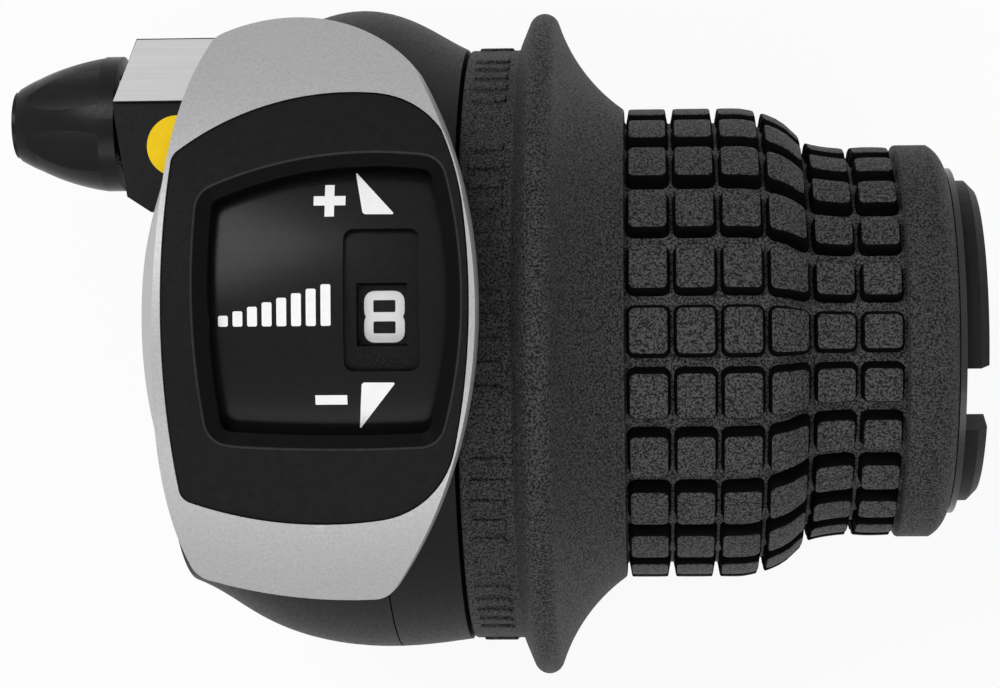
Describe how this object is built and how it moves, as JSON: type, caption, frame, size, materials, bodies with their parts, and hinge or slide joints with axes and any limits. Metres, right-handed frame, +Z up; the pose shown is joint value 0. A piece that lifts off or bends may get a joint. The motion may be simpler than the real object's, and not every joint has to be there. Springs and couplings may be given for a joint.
{
  "type": "twist grip shifter",
  "caption": "Handlebar twist grip shifter with a blocky rubber grip, a domed gear display in a silver cover, an indexed cable drum, a geared number wheel and a cable adjuster.",
  "frame": {"origin": "on the bar axis, at the parting plane between the fixed head and the turning grip", "axes": "+X along the bar axis towards the grip's open end, +Y forward, +Z up through the display"},
  "size_m": [0.0878, 0.0615, 0.0638],
  "materials": {
    "head_plastic": "fine matte grain",
    "silver_cover": "satin silver paint with a fine grain",
    "bezel_plastic": "fine matte grain",
    "panel_plastic": "smooth satin black",
    "window_clear": "clear",
    "plate_metal": "brushed",
    "label_film": "smooth",
    "steel": "plated",
    "spring_steel": "bright drawn",
    "inner_plastic": "moulded",
    "core_plastic": "moulded",
    "grip_rubber": "fine matte grain",
    "wheel_plastic": "moulded",
    "adjuster_plastic": "fine matte grain"
  },
  "bodies": {
    "head": {"housing": "head_plastic", "lower_cover": "head_plastic", "upper_cover": "silver_cover", "bezel": "bezel_plastic", "display_panel": "panel_plastic", "window_lens": "window_clear", "outlet_plate": "plate_metal", "round_label": "label_film", "clamp_bolt": "steel", "clamp_nut": "steel", "cover_screws": "steel", "detent_spring": "spring_steel", "wheel_axle": "steel", "cable_guide": "inner_plastic", "thrust_washer": "inner_plastic", "adjuster_spring": "spring_steel"},
    "grip": {"grip_core": "core_plastic", "winding_drum": "inner_plastic", "rubber_grip": "grip_rubber"},
    "indicator": {"number_wheel": "wheel_plastic"},
    "stop": {"cable_stop": "adjuster_plastic"},
    "adjuster": {"adjuster_barrel": "adjuster_plastic", "adjuster_bolt": "adjuster_plastic"}
  },
  "joints": [
    {"name": "grip_twist", "type": "hinge", "parent": "head", "child": "grip", "pos_m": [0, 0, 0], "axis": [1, 0, 0], "range_deg": [0, 70], "deforming": ["detent_spring"]},
    {"name": "indicator_spin", "type": "hinge", "parent": "head", "child": "indicator", "pos_m": [-0.0049, 0.0025, 0.02265], "axis": [1, 0, 0], "range_deg": [-280, 0]},
    {"name": "adjuster_advance", "type": "slide", "parent": "head", "child": "stop", "axis": [-1, 0, 0], "range_m": [0, 0.004], "deforming": ["adjuster_spring"]},
    {"name": "adjuster_turn", "type": "hinge", "parent": "stop", "child": "adjuster", "pos_m": [-0.0365, 0.0206, 0.004], "axis": [-1, 0, 0], "range_deg": [0, 1440]}
  ],
  "couplings": [
    {"joint": "indicator_spin", "follows": "grip_twist", "ratio": -4},
    {"joint": "adjuster_turn", "follows": "adjuster_advance", "rad_per_m": 6283.2}
  ]
}
